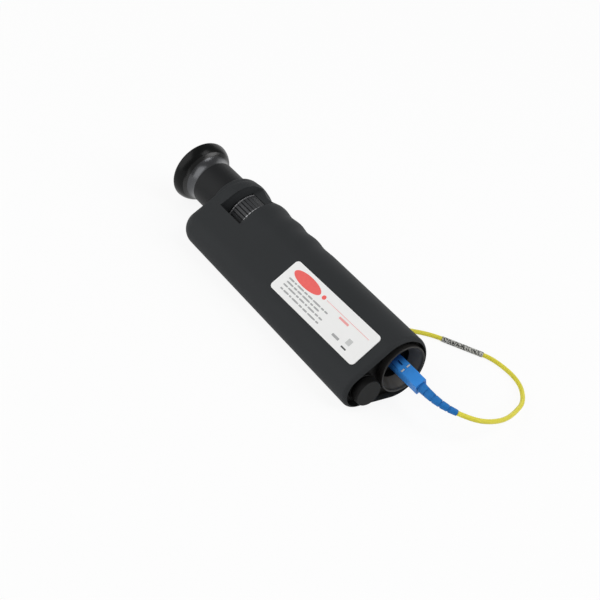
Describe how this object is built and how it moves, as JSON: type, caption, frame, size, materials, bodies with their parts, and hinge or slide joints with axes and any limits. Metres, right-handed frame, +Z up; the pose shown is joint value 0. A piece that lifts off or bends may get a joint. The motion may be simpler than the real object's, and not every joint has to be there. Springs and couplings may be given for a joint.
{
  "type": "fiber inspection microscope",
  "caption": "Handheld fiber inspection microscope with eyecup, focus wheel, tail power button and a fiber patch cord plugged into its adapter.",
  "frame": {"origin": "on the flat back the object lies on, halfway between the eyecup's rim and the tail end", "axes": "+X from the eyepiece towards the fiber adapter, +Y towards the optics side, +Z up out of the flat back"},
  "size_m": [0.2492, 0.128, 0.0416],
  "materials": {
    "housing": "soft-touch matte coating on the moulded housing",
    "end_parts": "matte black moulded plastic",
    "button": "matte soft button",
    "black_metal": "satin black anodised",
    "eyecup": "semi-gloss black rubber",
    "wheel": "satin black, ridged rim",
    "bright_metal": "plain",
    "aluminium": "turned",
    "glass": "polished",
    "filter": "tinted",
    "board": "solder mask",
    "cell": "plain sleeve",
    "label": "satin film",
    "plug_blue": "moulded, satin",
    "plug_white": "moulded, satin",
    "ceramic": "polished ceramic",
    "cord": "smooth jacket",
    "sleeve": "satin film"
  },
  "bodies": {
    "microscope": {"housing_front": "housing", "housing_back": "housing", "housing_screws": "bright_metal", "end_plate": "end_parts", "label_plate": "label", "eyecup": "eyecup", "neck_ring": "black_metal", "eyepiece_barrel": "black_metal", "eye_lens": "glass", "lens_spacer": "black_metal", "field_lens": "glass", "lens_retainer": "black_metal", "safety_filter": "filter", "guide_tube": "aluminium", "led_board": "board", "lamps": "plug_white", "adapter_body": "black_metal", "adapter_ring": "end_parts", "battery_tube": "end_parts", "front_cell": "cell", "rear_cell": "cell", "contact_plate": "bright_metal", "contact_spring": "bright_metal", "plug_grip": "plug_blue", "plug_inner": "plug_white", "plug_ferrule": "ceramic", "plug_boot": "plug_blue", "cord": "cord", "marker_sleeve": "sleeve", "loose_grip": "plug_blue", "loose_inner": "plug_white", "loose_ferrule": "ceramic", "loose_boot": "plug_blue", "dust_cap": "plug_white"},
    "wheel": {"focus_wheel": "wheel"},
    "carriage": {"objective_carriage": "aluminium", "drive_pin": "bright_metal", "objective_cell": "black_metal", "objective_lens": "glass"},
    "tail_cap": {"battery_cap": "end_parts", "tail_switch": "end_parts"},
    "button": {"power_button": "button"}
  },
  "joints": [
    {"name": "focus_turn", "type": "hinge", "parent": "microscope", "child": "wheel", "pos_m": [-0.0414, 0.0098, 0.0208], "axis": [1, 0, 0], "range_deg": [-150, 150]},
    {"name": "focus_slide", "type": "slide", "parent": "microscope", "child": "carriage", "axis": [1, 0, 0], "range_m": [-0.0015, 0.0015]},
    {"name": "cap_turn", "type": "hinge", "parent": "microscope", "child": "tail_cap", "pos_m": [0.09747, -0.0144, 0.0124], "axis": [0.9816, -0.1183, 0.1497], "range_deg": [0, 90]},
    {"name": "button_press", "type": "slide", "parent": "tail_cap", "child": "button", "axis": [-0.9816, 0.1183, -0.1497], "range_m": [0, 0.0006], "stiffness_N_per_m": 1500, "springref_m": -0.001}
  ],
  "couplings": [
    {"joint": "focus_slide", "follows": "focus_turn", "m_per_rad": 0.0005729}
  ]
}
